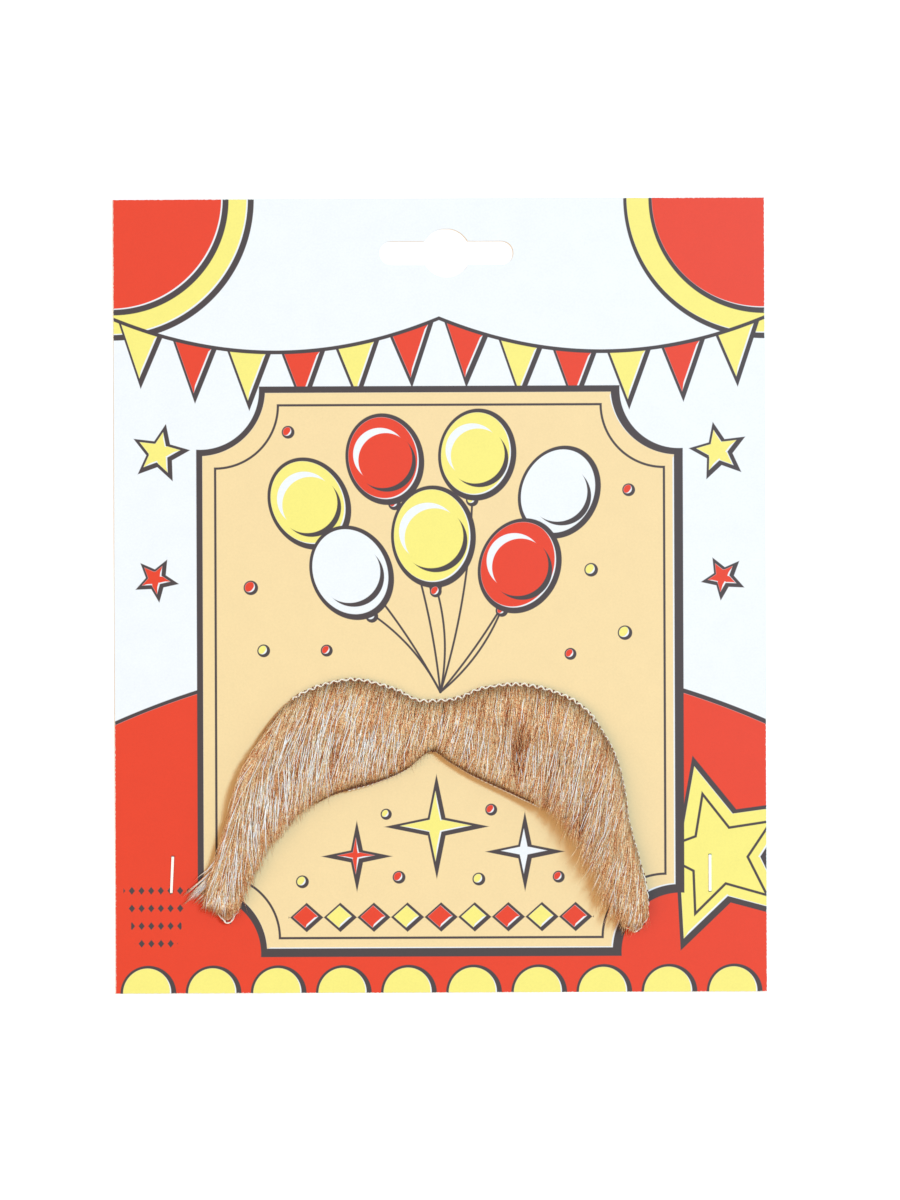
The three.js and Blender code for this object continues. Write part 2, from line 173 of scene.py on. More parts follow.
def smooth_mesh(name, vertices, polygons, uvs=None):
    """A shaded-smooth object. polygons is a list of arrays, one for each number of corners, and uvs
    holds a pair for each corner in the same order."""
    mesh = bpy.data.meshes.new(name)
    corners = np.concatenate([faces.ravel() for faces in polygons])
    sizes = np.concatenate([np.full(len(faces), faces.shape[1]) for faces in polygons])
    mesh.vertices.add(len(vertices))
    mesh.vertices.foreach_set("co", (vertices * MM).astype(np.float32).ravel())
    mesh.loops.add(len(corners))
    mesh.loops.foreach_set("vertex_index", corners.astype(np.int32))
    mesh.polygons.add(len(sizes))
    mesh.polygons.foreach_set("loop_start", (np.cumsum(sizes) - sizes).astype(np.int32))
    mesh.polygons.foreach_set("use_smooth", np.ones(len(sizes), bool))
    if uvs is not None:
        layer = mesh.uv_layers.new(name="OFBake")
        layer.data.foreach_set("uv", np.concatenate(uvs).astype(np.float32).ravel())
    mesh.update(calc_edges=True)
    thing = bpy.data.objects.new(name, mesh)
    bpy.context.scene.collection.objects.link(thing)
    return thing


def unit(vectors):
    return vectors / np.maximum(np.linalg.norm(vectors, axis=-1, keepdims=True), 1e-9)


def tube_mesh(name, paths, radii, sides, tints=None, flatness=1.0):
    """Closed tubes along paths, all in one object. paths is tubes x stations x 3 and radii is tubes x
    stations. Each tube ends in a point, and starts in a flat cap. tints is a number for each station,
    kept in the texture map with the place along the tube."""
    count, stations = paths.shape[:2]
    ahead = unit(np.gradient(paths, axis=1))
    side = unit(np.cross((0.0, 0.0, 1.0), ahead))
    above = np.cross(ahead, side)
    angles = np.arange(sides) * 2 * math.pi / sides + math.pi / 2
    sideways = np.cos(angles)[:, None] * side[:, :-1, None]
    upward = flatness * np.sin(angles)[:, None] * above[:, :-1, None]
    rings = paths[:, :-1, None] + radii[:, :-1, None, None] * (sideways + upward)
    per_tube = (stations - 1) * sides + 1
    vertices = np.concatenate([rings.reshape(count, -1, 3), paths[:, -1:]], axis=1).reshape(-1, 3)
    first = np.arange(count)[:, None, None] * per_tube
    j = np.arange(stations - 2)[None, :, None]
    k = np.arange(sides)[None, None, :]
    after = (k + 1) % sides
    quads = np.stack([j * sides + k, j * sides + after, (j + 1) * sides + after, (j + 1) * sides + k], -1)
    quads = (first[..., None] + quads).reshape(-1, 4)
    last = (stations - 2) * sides
    tips = np.stack(np.broadcast_arrays(last + k, last + after, per_tube - 1), -1)
    tips = (first[..., None] + tips).reshape(-1, 3)
    caps = first[:, 0] + np.arange(sides)[::-1][None, :]
    uvs = None
    if tints is not None:
        place = np.concatenate([np.repeat(np.linspace(0, 1, stations)[:-1], sides), [1.0]])
        across = np.concatenate([np.tile(np.arange(sides), stations - 1), [0]]) * MAP_WIDTH
        tint = np.concatenate([np.repeat(tints[:, :-1], sides, axis=1), tints[:, -1:]], axis=1) + across
        by_vertex = np.stack([tint, np.broadcast_to(place, (count, per_tube))], -1).reshape(-1, 2)
        uvs = [by_vertex[quads.ravel()], by_vertex[tips.ravel()], by_vertex[caps.ravel()]]
    return smooth_mesh(name, vertices, [quads, tips, caps], uvs)


def dress(thing, material):
    """Gives a piece its material and the body that it rides on."""
    thing.data.materials.clear()
    thing.data.materials.append(material)
    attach(thing, "root")


# Material nodes

class Field:
    """A number that changes over a surface, worked out by Math nodes."""

    def __init__(self, tree, socket):
        self.tree = tree
        self.socket = socket

    def math(self, operation, *others, clamp=False):
        node = self.tree.nodes.new("ShaderNodeMath")
        node.operation = operation
        node.use_clamp = clamp
        for place, value in enumerate((self, *others)):
            if isinstance(value, Field):
                self.tree.links.new(value.socket, node.inputs[place])
            else:
                node.inputs[place].default_value = value
        return Field(self.tree, node.outputs[0])

    def __add__(self, other):
        return self.math("ADD", other)

    def __sub__(self, other):
        return self.math("SUBTRACT", other)

    def __mul__(self, other):
        return self.math("MULTIPLY", other)

    def __neg__(self):
        return self.math("MULTIPLY", -1.0)

    def __abs__(self):
        return self.math("ABSOLUTE")

    def high(self, other):
        return self.math("MAXIMUM", other)

    def length_with(self, other):
        return (self * self + other * other).math("SQRT")


def srgb(red, green, blue):
    """A colour as Blender wants it, from the 0 to 255 values of a picture."""
    def linear(value):
        value /= 255
        return value / 12.92 if value <= 0.04045 else ((value + 0.055) / 1.055) ** 2.4
    return (linear(red), linear(green), linear(blue), 1.0)


def new_material(name, **constants):
    """A Principled material whose constants are set on the shader itself."""
    material = bpy.data.materials.new(name)
    material.use_nodes = True
    shader = material.node_tree.nodes["Principled BSDF"]
    for socket, value in constants.items():
        shader.inputs[socket.replace("_", " ")].default_value = value
    return material, material.node_tree, shader


def mix_colour(tree, share, first, second):
    """first where share is 0 and second where it is 1. Each is a colour or a socket."""
    node = tree.nodes.new("ShaderNodeMix")
    node.data_type = "RGBA"
    for socket, value in ((node.inputs[0], share), (node.inputs[6], first), (node.inputs[7], second)):
        if isinstance(value, Field):
            tree.links.new(value.socket, socket)
        elif isinstance(value, bpy.types.NodeSocket):
            tree.links.new(value, socket)
        else:
            socket.default_value = value
    return node.outputs[2]


def object_place(tree):
    """The object's own coordinates in millimetres, as a vector socket."""
    coordinates = tree.nodes.new("ShaderNodeTexCoord")
    scale = tree.nodes.new("ShaderNodeVectorMath")
    scale.operation = "SCALE"
    scale.inputs["Scale"].default_value = 1 / MM
    tree.links.new(coordinates.outputs["Object"], scale.inputs[0])
    return scale.outputs[0]


def noise(tree, place, size, detail=2.0):
    """Soft noise from 0 to 1 with lumps of the given size in millimetres."""
    node = tree.nodes.new("ShaderNodeTexNoise")
    node.inputs["Scale"].default_value = 1 / size
    node.inputs["Detail"].default_value = detail
    tree.links.new(place, node.inputs["Vector"])
    return Field(tree, node.outputs["Fac"])


def bump(tree, shader, height, distance, strength=1.0):
    node = tree.nodes.new("ShaderNodeBump")
    node.inputs["Distance"].default_value = distance * MM
    node.inputs["Strength"].default_value = strength
    tree.links.new(height.socket, node.inputs["Height"])
    tree.links.new(node.outputs["Normal"], shader.inputs["Normal"])


# The print on the card. Its colours are those of the photograph under this scene's light.

PRINT_BRIGHTNESS = 0.8
PRINT_SOFTNESS = 0.14
PLATE_SHIFT = (0.32, -0.24)  # how far the colours are off the black


def printed(red, green, blue):
    colour = srgb(red, green, blue)
    return tuple(channel * PRINT_BRIGHTNESS for channel in colour[:3]) + (1.0,)


ICE = printed(246, 250, 255)
RED = printed(237, 55, 4)
PEACH = printed(250, 222, 166)
YELLOW = printed(253, 241, 127)
CHARCOAL = printed(66, 54, 56)
PAPER = printed(246, 246, 242)
PAPER_FIBRE = printed(226, 224, 217)


class Plate:
    """The card's face as one ink lies on it: a vector in millimetres, with its x and y."""

    def __init__(self, tree, vector):
        parts = tree.nodes.new("ShaderNodeSeparateXYZ")
        tree.links.new(vector, parts.inputs[0])
        self.tree = tree
        self.vector = vector
        self.x = Field(tree, parts.outputs[0])
        self.y = Field(tree, parts.outputs[1])

    def vector_math(self, operation, first, second=None, scale=None):
        node = self.tree.nodes.new("ShaderNodeVectorMath")
        node.operation = operation
        for socket, value in ((node.inputs[0], first), (node.inputs[1], second)):
            if isinstance(value, bpy.types.NodeSocket):
                self.tree.links.new(value, socket)
            elif value is not None:
                socket.default_value = value
        if scale is not None:
            self.tree.links.new(scale.socket, node.inputs["Scale"])
        return node

    def from_point(self, x, y):
        node = self.vector_math("DISTANCE", self.vector, (x, y, 0))
        return Field(self.tree, node.outputs["Value"])

    def with_x(self, x):
        """The same plate with another x, as for a repeat or a mirror."""
        joined = self.tree.nodes.new("ShaderNodeCombineXYZ")
        self.tree.links.new(x.socket, joined.inputs[0])
        self.tree.links.new(self.y.socket, joined.inputs[1])
        return Plate(self.tree, joined.outputs[0])


def plate_at(tree, place, shift):
    moved = tree.nodes.new("ShaderNodeVectorMath")
    moved.operation = "MULTIPLY_ADD"
    moved.inputs[1].default_value = (1, 1, 0)
    moved.inputs[2].default_value = (shift[0], shift[1], 0)
    tree.links.new(place, moved.inputs[0])
    return Plate(tree, moved.outputs[0])


# Shapes: each is a function of a plate, below zero inside the shape, in millimetres

def disc(x, y, radius):
    return lambda plate: plate.from_point(x, y) - radius


def block(x, y, half_width, half_height):
    return lambda plate: (abs(plate.x - x) - half_width).high(abs(plate.y - y) - half_height)


def diamond(x, y, half_width, half_height):
    slope = 1 / math.hypot(1 / half_width, 1 / half_height)

    def shape(plate):
        across = abs(plate.x - x) * (slope / half_width)
        return across + abs(plate.y - y) * (slope / half_height) - slope
    return shape


def both(first, second):
    return lambda plate: first(plate).high(second(plate))


def without(first, second):
    return lambda plate: first(plate).high(-second(plate))


def crescent(x, y, radius, shift_x, shift_y, cut_radius):
    """What is left of a disc when another one, shifted from it, is cut off: a stroke with thin ends."""
    return without(disc(x, y, radius), disc(x + shift_x, y + shift_y, cut_radius))


def oval(x, y, half_width, half_height, lean=0.0):
    def shape(plate):
        turned_x = (plate.x - x) * math.cos(lean) + (plate.y - y) * math.sin(lean)
        turned_y = (plate.y - y) * math.cos(lean) - (plate.x - x) * math.sin(lean)
        round_distance = (turned_x * (1 / half_width)).length_with(turned_y * (1 / half_height))
        return (round_distance - 1) * min(half_width, half_height)
    return shape


def string(start, end, sag, width):
    """A thin stroke between two points that bows to one side."""
    run = (end[0] - start[0], end[1] - start[1], 0)
    length = math.hypot(run[0], run[1])
    bow = (-run[1] / length * 4 * sag, run[0] / length * 4 * sag, 0)

    def shape(plate):
        offset = plate.vector_math("SUBTRACT", plate.vector, (start[0], start[1], 0)).outputs[0]
        along = Field(plate.tree, plate.vector_math("DOT_PRODUCT", offset, run).outputs["Value"])
        share = along.math("MULTIPLY", 1 / length**2, clamp=True)
        straight = plate.vector_math("SCALE", run, scale=share).outputs[0]
        bowed = plate.vector_math("SCALE", bow, scale=share * (-share + 1)).outputs[0]
        left = plate.vector_math("SUBTRACT", offset, straight).outputs[0]
        left = plate.vector_math("SUBTRACT", left, bowed).outputs[0]
        distance = plate.vector_math("LENGTH", left).outputs["Value"]
        return Field(plate.tree, distance) - width / 2
    return shape


def star(x, y, radius, waist, turn=0.0, points=5):
    """A star with the given number of points. waist is the radius of the corners between them."""
    step = math.pi / points
    corner = (waist * math.cos(step), waist * math.sin(step))
    edge = math.hypot(corner[0] - radius, corner[1])
    normal = (corner[1] / edge, (radius - corner[0]) / edge)

    def shape(plate):
        across = plate.x - x
        upward = plate.y - y
        folded = (across.math("ARCTAN2", upward) + turn).math("PINGPONG", step)
        reach = across.length_with(upward)
        ahead = folded.math("COSINE") * reach
        aside = folded.math("SINE") * reach
        return (ahead - radius) * normal[0] + aside * normal[1]
    return shape


def plaque(x, y, half_width, half_height, bite):
    """A rectangle with a round bite out of each corner."""
    def shape(plate):
        across = abs(plate.x - x) - half_width
        upward = abs(plate.y - y) - half_height
        corner = -(across.length_with(upward) - bite)
        return across.high(upward).high(corner)
    return shape


def repeated(shape, pitch, offset=0.0):
    """Copies of a shape drawn around x = 0, side by side."""
    half = pitch / 2
    return lambda plate: shape(plate.with_x((plate.x + (offset + half)).math("FLOORED_MODULO", pitch) - half))


def mirrored(shape):
    """A shape drawn right of the middle line, on both sides of it."""
    return lambda plate: shape(plate.with_x(abs(plate.x)))


# Bunting: a cord in two swags, with pennants on it
SWAG_TOP = 66.0
SWAG_DEPTH = 8.0
PENNANT_PITCH = CARD_WIDTH / 12
PENNANT_LENGTH = 13.0
PENNANT_HALF_WIDTH = 4.9


def below_cord(plate):
    """How far a point is below the bunting's cord."""
    half = CARD_WIDTH / 4
    in_swag = (abs(plate.x) - half) * (1 / half)
    cord = in_swag * in_swag * SWAG_DEPTH + (SWAG_TOP - SWAG_DEPTH)
    return cord - plate.y


def pennants(every, phase):
    """Pennants on the cord: of each run of every places, the one at phase."""
    run = PENNANT_PITCH * every
    middle = PENNANT_PITCH * (phase + 0.5)
    slope = 1 / math.hypot(1 / PENNANT_HALF_WIDTH, 1 / PENNANT_LENGTH)

    def shape(plate):
        down = below_cord(plate)
        across = abs((abs(plate.x) - (middle - run / 2)).math("FLOORED_MODULO", run) - run / 2)
        edge = across * (slope / PENNANT_HALF_WIDTH) + down * (slope / PENNANT_LENGTH) - slope
        return edge.high(-down)
    return shape


class Print:
    """Paints shapes over each other, each with its black outline and the white that shows beside it."""

    def __init__(self, tree, place, paper):
        self.tree = tree
        self.colour = paper
        self.black = plate_at(tree, place, (0, 0))
        self.colours = plate_at(tree, place, PLATE_SHIFT)

    def cover(self, distance, grow=0.0):
        """1 inside the shape, 0 outside it."""
        return distance.math("MULTIPLY_ADD", -1 / PRINT_SOFTNESS, 0.5 + grow / PRINT_SOFTNESS, clamp=True)

    def lay(self, colour, share):
        self.colour = mix_colour(self.tree, share, self.colour, colour)

    def stamp(self, shape, colour, line=0.9):
        """A filled shape. Its outline is thicker on one side, and the colour is short of it on the other."""
        at_black = shape(self.black)
        at_colour = shape(self.colours)
        self.lay(CHARCOAL, self.cover(at_black, line / 2))
        clear = self.cover(at_colour, -line / 2) * self.cover(at_black, -line / 5)
        self.lay(ICE, clear)
        beyond = at_colour * 2 - at_black
        self.lay(colour, clear * self.cover(beyond, -line / 2))

    def fill(self, shape, colour):
        self.lay(colour, self.cover(shape(self.colours)))

    def ink(self, shape):
        self.lay(CHARCOAL, self.cover(shape(self.black)))

    def line(self, shape, width):
        self.lay(CHARCOAL, self.cover(abs(shape(self.black)) - width / 2))


def balloon(page, x, y, half_width, half_height, lean, colour):
    """A balloon with its knot, a highlight and a shaded side."""
    foot_x = x + math.sin(lean) * half_height
    foot_y = y - math.cos(lean) * half_height
    page.stamp(disc(foot_x, foot_y - 0.5, 1.2), colour, 0.6)
    page.stamp(oval(x, y, half_width, half_height, lean), colour, 1.0)
    size = min(half_width, half_height)
    highlight = [x - 0.1 * size, y + 0.1 * size, 0.72 * size, 0.16 * size, -0.16 * size, 0.74 * size]
    shaded_side = [x + 0.06 * size, y - 0.1 * size, 0.78 * size, -0.12 * size, 0.12 * size, 0.8 * size]
    page.fill(crescent(*highlight), ICE)
    page.ink(crescent(*shaded_side))


# Columns: x, y, half width, half height, lean, colour. The last ones lie in front.
BALLOONS = [
    (-13, 32.5, 8.8, 10.4, 0.22, RED),
    (9, 33.5, 8.8, 10.4, -0.12, YELLOW),
    (-31, 22, 9, 10.8, 0.5, YELLOW),
    (28.5, 24.5, 9, 10.8, -0.45, ICE),
    (-21, 5.5, 9.2, 11, 0.45, ICE),
    (19, 7, 9.2, 11, -0.4, RED),
    (-1.5, 14, 9.6, 11.6, 0.04, YELLOW),
]
BALLOON_KNOT = (0, -23)

# Sparkles under the hair. Columns: x, y, radius, colour.
SPARKLES = [
    (-1, -55, 10.5, YELLOW),
    (-20, -62, 6.5, RED),
    (20, -61, 7.5, ICE),
]

# Confetti. Columns: x, y, radius, colour.
CONFETTI = [
    (-33, -68, 1.3, YELLOW),
    (-10, -67, 1.3, RED),
    (9, -67.5, 1.3, YELLOW),
    (-13, -52, 1.1, YELLOW),
    (12, -51, 1.2, RED),
    (28, -67, 1.2, RED),
    (-45, 2, 1.5, RED),
    (-42, -13, 1.3, YELLOW),
    (-36, 39, 1.3, RED),
    (-1, 1, 1.2, RED),
    (36, 6, 1.4, YELLOW),
    (45, 25, 1.3, RED),
    (44, -9, 1.5, YELLOW),
    (31, -14, 1.2, RED),
    (-27, -13, 1.2, RED),
]


def draw_fairground(page):
    """A fairground print: bunting, a red ground, and a plaque with balloons, sparkles and confetti."""
    page.stamp(disc(0, -206, 192), RED, 1.2)
    page.stamp(star(66, -62, 23, 11, 0.25), YELLOW, 1.2)
    page.line(star(66, -62, 15, 7, 0.25), 0.6)
    for line in range(4):
        row = repeated(diamond(0, -70 - 4.2 * line, 0.75, 0.95), 2.3)
        page.ink(both(row, block(-67.8, -76, 7.8 - 0.9 * line, 9)))
    corner = (CARD_WIDTH / 2, CARD_HEIGHT / 2)
    page.stamp(mirrored(disc(*corner, 33)), YELLOW, 1.1)
    page.stamp(mirrored(disc(*corner, 27)), RED, 1.1)
    page.stamp(pennants(2, 0), RED, 0.8)
    page.stamp(pennants(2, 1), YELLOW, 0.8)
    page.line(below_cord, 0.9)
    page.stamp(mirrored(star(66.5, 34, 6.2, 2.8, 0.2)), YELLOW, 0.8)
    page.stamp(mirrored(star(67.5, 4, 4.6, 2.1, 0.5)), RED, 0.7)
    page.stamp(plaque(0, -18, 57, 67, 15), PEACH, 1.8)
    page.line(plaque(0, -18, 53.4, 63.4, 15), 0.55)
    for x, y, _, half_height, lean, _ in BALLOONS:
        foot = (x + math.sin(lean) * half_height, y - math.cos(lean) * half_height)
        page.ink(string(foot, BALLOON_KNOT, 1.6, 0.5))
    for row in BALLOONS:
        balloon(page, *row)
    for x, y, radius, colour in SPARKLES:
        page.stamp(star(x, y, radius, 0.24 * radius, 0, 4), colour, 0.8)
    for x, y, radius, colour in CONFETTI:
        page.stamp(disc(x, y, radius), colour, 0.45)
    for offset, colour in ((0, RED), (8, YELLOW)):
        row = repeated(diamond(0, -76.5, 3.5, 3.1), 16, offset)
        page.stamp(both(row, block(0, -76.5, 36, 4)), colour, 0.6)
    page.stamp(repeated(disc(0, -CARD_HEIGHT / 2, 6.2), CARD_WIDTH / 10, CARD_WIDTH / 20), YELLOW, 0.9)


def card_material():
    """The print on the card's face, and bare board on its back, its edges and where it is worn."""
    material, tree, shader = new_material("printed_card", Roughness=0.42, Specular_IOR_Level=0.3)
    place = object_place(tree)
    page = Print(tree, place, ICE)
    draw_fairground(page)
    mottle = noise(tree, place, 0.5, 3.0)
    cloud = noise(tree, place, 6.0)
    shade = (mottle - 0.5) * 0.1 + (cloud - 0.5) * 0.05 + 1.0
    scale = tree.nodes.new("ShaderNodeVectorMath")
    scale.operation = "SCALE"
    tree.links.new(page.colour, scale.inputs[0])
    tree.links.new(shade.socket, scale.inputs["Scale"])
    flat = plate_at(tree, place, (0, 0))
    parts = tree.nodes.new("ShaderNodeSeparateXYZ")
    tree.links.new(place, parts.inputs[0])
    on_face = Field(tree, parts.outputs[2]).math("GREATER_THAN", CARD_FACE - 0.02)
    border = (abs(flat.x) - CARD_WIDTH / 2).high(abs(flat.y) - CARD_HEIGHT / 2)
    worn = (border + mottle * 0.5).math("GREATER_THAN", 0.16)
    covered = on_face * (-(worn * 0.75) + 1.0)
    fibre = noise(tree, place, 0.16, 4.0)
    paper = mix_colour(tree, fibre, PAPER_FIBRE, PAPER)
    tree.links.new(mix_colour(tree, covered, paper, scale.outputs[0]), shader.inputs["Base Color"])
    bump(tree, shader, fibre, 0.012, 0.5)
    return material


# Hair

HAIR_RAMP = [
    (0.0, srgb(152, 70, 36)),
    (0.17, srgb(205, 118, 72)),
    (0.365, srgb(236, 176, 121)),
    (0.5, srgb(247, 203, 149)),
    (0.635, srgb(252, 223, 172)),
    (0.83, srgb(255, 248, 220)),
    (1.0, srgb(255, 255, 255)),
]
ROOT_SHADE = 0.95
SPECKLE = 1.3


def hair_material():
    """The colour follows the strand's own tint, changes a little along it and darkens towards its root."""
    material, tree, shader = new_material("hair_strands", Roughness=0.4, Specular_IOR_Level=0.3)
    uv = tree.nodes.new("ShaderNodeUVMap")
    uv.uv_map = "OFBake"
    parts = tree.nodes.new("ShaderNodeSeparateXYZ")
    tree.links.new(uv.outputs[0], parts.inputs[0])
    ramp = tree.nodes.new("ShaderNodeValToRGB")
    while len(ramp.color_ramp.elements) < len(HAIR_RAMP):
        ramp.color_ramp.elements.new(0.5)
    for element, (position, colour) in zip(ramp.color_ramp.elements, HAIR_RAMP):
        element.position = position
        element.color = colour
    speckle = noise(tree, object_place(tree), 0.3, 1.0) - 0.5
    tint = Field(tree, parts.outputs[0]) + speckle * SPECKLE
    tree.links.new(tint.socket, ramp.inputs[0])
    place = Field(tree, parts.outputs[1])
    shade = place.math("MULTIPLY_ADD", 3.0, 0.0, clamp=True) * (1 - ROOT_SHADE) + ROOT_SHADE
    scale = tree.nodes.new("ShaderNodeVectorMath")
    scale.operation = "SCALE"
    tree.links.new(ramp.outputs[0], scale.inputs[0])
    tree.links.new(shade.socket, scale.inputs["Scale"])
    tree.links.new(scale.outputs[0], shader.inputs["Base Color"])
    return material


STRANDS = 24000
WHITE_STRANDS = 620
STATIONS = 6  # points along a strand
ROW_GRID = 441  # places between the tips where the moustache is measured
PIECE_ROWS = [0, 4.6, 8.2, 13.0, 16.4, LAST_ROW]
PIECE_NAMES = ["hair_left_tip", "hair_left_wing", "hair_middle", "hair_right_wing", "hair_right_tip"]

# How the pile rises over the net. Columns: share of the section, share of the pile height.
PILE_PROFILE = np.array([(0, 0.4), (0.1, 0.78), (0.3, 1.0), (0.75, 0.95), (0.95, 0.62), (1.1, 0.4)])

# How ragged the free ends are. Columns: row, spread as a share of the section.
RAGGED = np.array([
    (0, 0.01), (1.5, 0.02), (3, 0.04), (5, 0.025), (7.5, 0.006),
    (13, 0.006), (14.5, 0.04), (16, 0.1), (19, 0.12), (22, 0.04),
])
TIP_ROWS = 1.5  # rows at either tip where the hair is shorter
TIP_TRIM = 0.07  # share of the section that it is shorter by

# How far strands lean to the left of their section. Columns: row, degrees.
LEAN = np.array([(0, 12), (1, 9), (2, 6), (3, 5), (5, 3), (8, 1), (14, 0), (22, 2)])

# How much more they lean where they start at the root edge. Columns: row, degrees.
EDGE_LEAN = np.array([(0, 12), (1, 14), (3, 16), (4, 22), (5, 18), (6, 8), (7, 0)])

# Locks of strands lie side by side, in bands across the sections
LOCK_WIDTH = 1.0
LOCK_SHIFT = 0.37  # share of a lock's width that each band lies further along than the one before
LOCK_SEEDS = 997

# The share of the white strands that is kept. Columns: row, share.
WHITE_SHARE = np.array([(0, 1.0), (7, 0.9), (9, 0.45), (22, 0.45)])

# Where strands start, as shares of the section
EDGE_SHARE = 0.3  # share of the brown strands that start at the root edge
EDGE_START = (0.0, 0.05)
BROWN_START = (0.02, 0.9)
WHITE_START = (0.0, 0.65)

# Lengths and radii of strands in millimetres
BROWN_LENGTH = (9, 17)
WHITE_LENGTH = (11, 23)
SHORTEST = 1.5
BROWN_RADIUS = (0.05, 0.085)
WHITE_RADIUS = (0.075, 0.105)
FLATNESS = 0.6

# Tints of strands, as places on the ramp
BROWN_TINT = 0.46
BROWN_TINT_SPREAD = 0.18
WHITE_TINT = (1.05, 1.3)
CREASE_SHADE = 0.9  # how much darker the tint is where a crease takes the whole pile

# The left wing's outer edge, which the hair follows
OUTER_ROWS = 6.5
OUTER_EDGE = surface(np.linspace(0, OUTER_ROWS, 200), 0.0)[:, :2]
FAN_FROM = -58.0  # below this the hair fans out from the left wing's outer edge
FAN_SPREAD = 0.2
MEAN_OVERHANG = 0.35
MOST_OVERHANG = 1.3
CARD_CLEARANCE = 0.2  # how far the strands stay above the card


def by_row(table, rows):
    return np.interp(rows, table[:, 0], table[:, 1])


def spread_rows(count):
    """Rows spaced so that the strands' roots lie evenly over the moustache, in random order."""
    grid = np.linspace(0, LAST_ROW, ROW_GRID)
    middle = surface(grid, 0.5)[:, :2]
    root, free = surface(grid, 0.0)[:, :2], surface(grid, 1.0)[:, :2]
    step = np.gradient(middle, axis=0)
    section = free - root
    area = np.abs(step[:, 0] * section[:, 1] - step[:, 1] * section[:, 0])
    total = np.cumsum(area)
    places = (random.permutation(count) + random.uniform(0, 1, count)) / count
    return np.interp(places * total[-1], total, grid)


def across_at(rows):
    """Millimetres across the strands from the left tip to a row."""
    grid = np.linspace(0, LAST_ROW, ROW_GRID)
    middle = surface(grid, 0.5)[:, :2]
    section = unit(surface(grid, 1.0)[:, :2] - surface(grid, 0.0)[:, :2])
    step = np.gradient(middle, axis=0)
    total = np.cumsum(np.abs(step[:, 0] * section[:, 1] - step[:, 1] * section[:, 0]))
    return np.interp(rows, grid, total)


